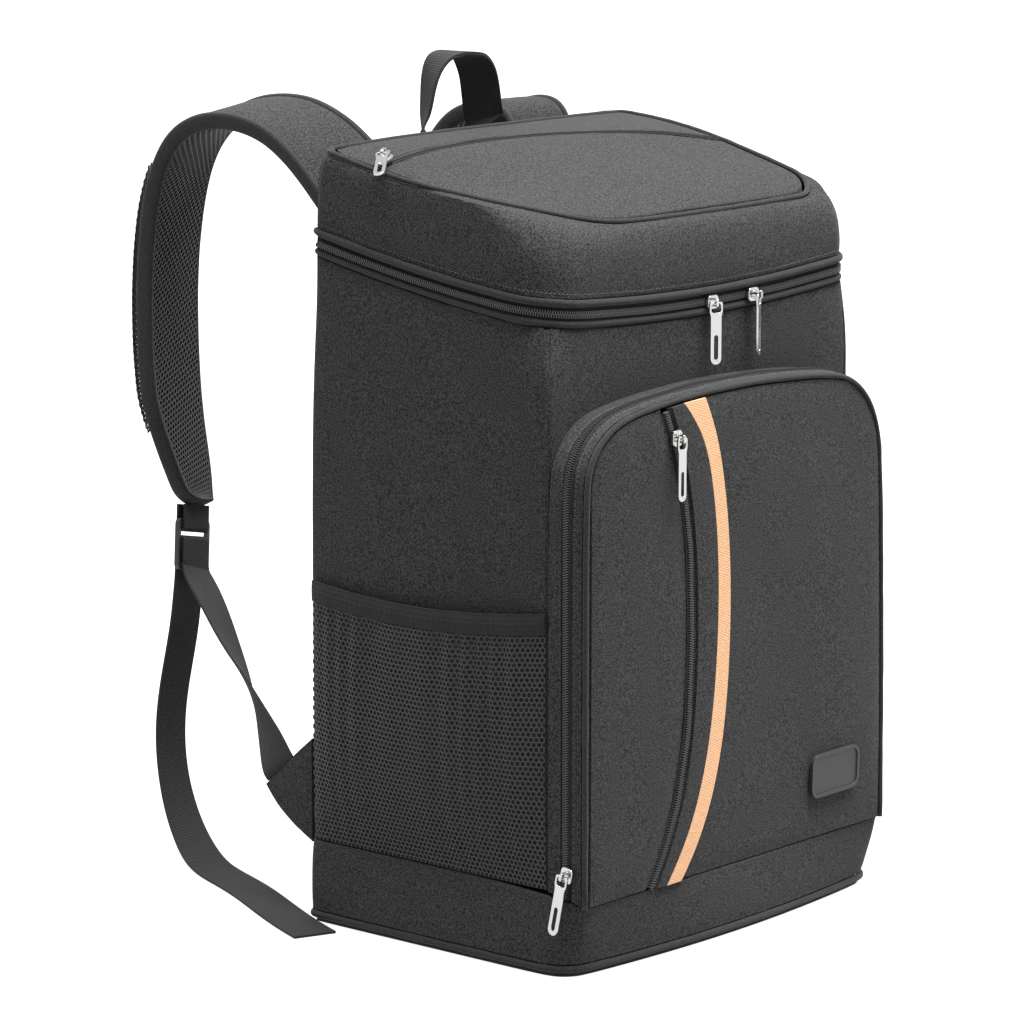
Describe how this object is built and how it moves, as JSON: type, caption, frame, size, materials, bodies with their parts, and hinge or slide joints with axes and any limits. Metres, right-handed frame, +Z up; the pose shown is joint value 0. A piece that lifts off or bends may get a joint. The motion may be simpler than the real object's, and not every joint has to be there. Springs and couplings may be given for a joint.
{
  "type": "cooler backpack",
  "caption": "Boxy insulated cooler backpack with a hinged zip lid, an arched front pocket, net side pockets, padded shoulder straps and a webbing carry handle.",
  "frame": {"origin": "centre of the bottom face of the bag's base panel", "axes": "+Z up, -Y out of the front face with the arched pocket, +Y towards the back with the shoulder straps, +X to the bag's right as seen from the front"},
  "size_m": [0.4427, 0.4416, 0.5312],
  "materials": {
    "cloth": "charcoal melange polyester, matt",
    "dark_cloth": "dark polyester, matt",
    "piping": "black cloth piping, matt",
    "webbing": "black woven webbing, slight sheen",
    "net": "black knitted net",
    "zip": "black zip tape and coil",
    "orange_tape": "light orange woven tape, slight sheen",
    "nickel": "polished nickel plate",
    "buckle_plastic": "black moulded plastic",
    "badge_rubber": "black moulded rubber"
  },
  "bodies": {
    "bag": {"base_panel": "dark_cloth", "base_piping": "piping", "base_band": "cloth", "left_side_panel": "cloth", "right_side_panel": "cloth", "back_panel": "cloth", "front_panel": "cloth", "rim_piping": "piping", "lid_piping": "piping", "lid_zip": "zip", "lid_wall": "cloth", "lid_back": "cloth", "lid_top_piping": "piping", "lid_panel": "cloth", "lid_back_strip": "cloth", "lid_pocket_zip": "zip", "pocket_gusset_back": "cloth", "pocket_gusset_front": "cloth", "pocket_zip": "zip", "pocket_piping": "piping", "pocket_panel_left": "cloth", "pocket_panel_right": "cloth", "slash_zip": "zip", "slash_flap": "cloth", "orange_stripe": "orange_tape", "badge": "badge_rubber", "left_net_pocket": "net", "left_net_band": "webbing", "right_net_pocket": "net", "right_net_band": "webbing", "left_strap_pad": "cloth", "left_strap_mesh": "net", "left_ladder_lock": "buckle_plastic", "left_strap_end": "webbing", "left_adjuster": "webbing", "left_tab": "cloth", "right_strap_pad": "cloth", "right_strap_mesh": "net", "right_ladder_lock": "buckle_plastic", "right_strap_end": "webbing", "right_adjuster": "webbing", "right_tab": "cloth", "strap_sleeve": "net", "handle": "webbing", "lid_left_slider": "nickel", "lid_right_slider": "nickel", "pocket_slider": "nickel", "slash_slider": "nickel", "top_slider": "nickel"},
    "lid_left_tab": {"lid_left_pull": "nickel"},
    "lid_right_tab": {"lid_right_pull": "nickel"},
    "pocket_tab": {"pocket_pull": "nickel"},
    "slash_tab": {"slash_pull": "nickel"},
    "top_tab": {"top_pull": "nickel"}
  },
  "joints": [
    {"name": "lid_left_pull_hinge", "type": "hinge", "parent": "bag", "child": "lid_left_tab", "pos_m": [0.00099, -0.08771, 0.3903], "axis": [-0.9063, 0.4226, 0], "range_deg": [-6, 160]},
    {"name": "lid_right_pull_hinge", "type": "hinge", "parent": "bag", "child": "lid_right_tab", "pos_m": [0.04356, -0.08773, 0.39092], "axis": [-0.9135, -0.4067, 0], "range_deg": [-6, 160]},
    {"name": "pocket_pull_hinge", "type": "hinge", "parent": "bag", "child": "pocket_tab", "pos_m": [-0.155, -0.098, 0.065], "axis": [0, 0.9781, 0.2079], "range_deg": [-4, 170]},
    {"name": "slash_pull_hinge", "type": "hinge", "parent": "bag", "child": "slash_tab", "pos_m": [-0.06859, -0.11765, 0.319], "axis": [-1, 0, 0], "range_deg": [-6, 170]},
    {"name": "top_pull_hinge", "type": "hinge", "parent": "bag", "child": "top_tab", "pos_m": [-0.13356, 0.0615, 0.48213], "axis": [-0.568, 0.8033, -0.1794], "range_deg": [-6, 170]}
  ]
}
